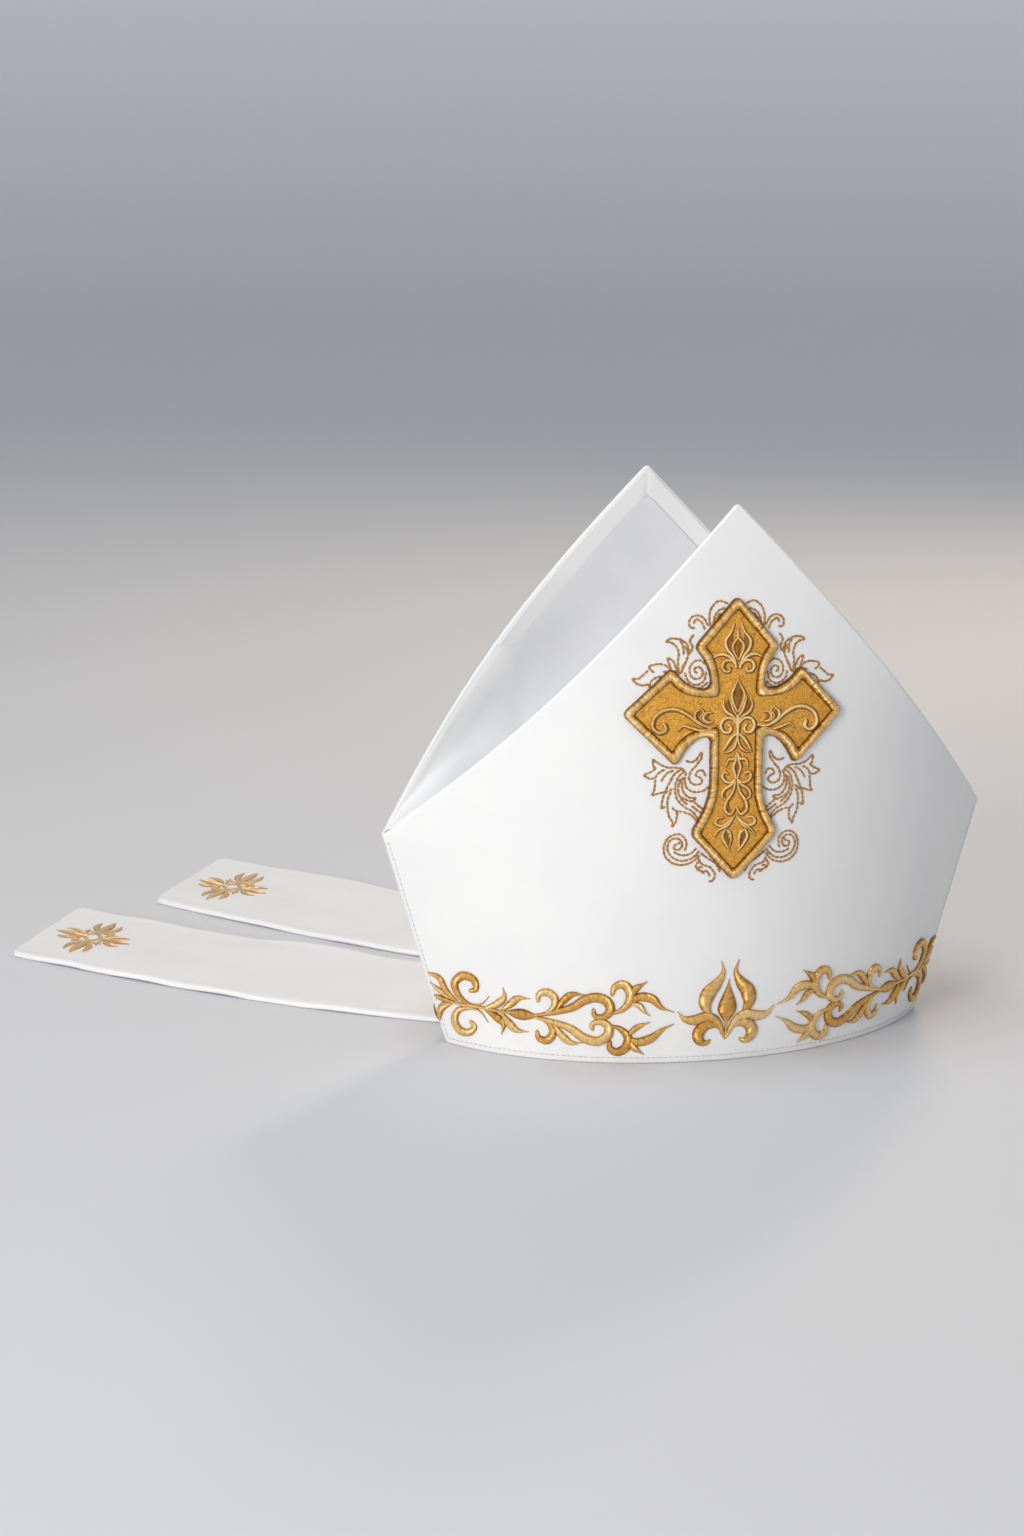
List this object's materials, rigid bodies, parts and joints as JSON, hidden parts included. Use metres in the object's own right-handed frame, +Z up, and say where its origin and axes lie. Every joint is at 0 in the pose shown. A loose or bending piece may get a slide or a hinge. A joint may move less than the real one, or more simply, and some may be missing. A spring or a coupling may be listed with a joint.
{
  "type": "bishop mitre",
  "caption": "Tall pointed ceremonial hat of stiffened white cloth with a soft gusset between its horns, a padded gold cross and lappets laid out behind.",
  "frame": {"origin": "centre of the whole object's footprint on the surface that it stands on; the head opening's centre is 87.5 mm along +X and 164.8 mm along -Y from it", "axes": "+Z up, -Y towards the front with the cross, +X to the viewer's right when facing the front"},
  "size_m": [0.515, 0.5104, 0.2989],
  "materials": {
    "panel_cloth": "smooth ivory-white satin-faced cloth over a stiffener, soft sheen",
    "lining_cloth": "plain white lining cloth, matte, with soft pulls and creases",
    "gold_brocade": "gold brocade with a fine metallic weave",
    "gold_thread": "lustrous gold satin-stitch thread"
  },
  "bodies": {
    "root": {"front_panel": "panel_cloth", "back_panel": "panel_cloth", "front_facing": "panel_cloth", "back_facing": "panel_cloth", "gusset": "lining_cloth", "cross_field": "gold_brocade", "cross_border": "gold_thread", "near_lappet": "panel_cloth", "far_lappet": "panel_cloth"}
  },
  "joints": []
}
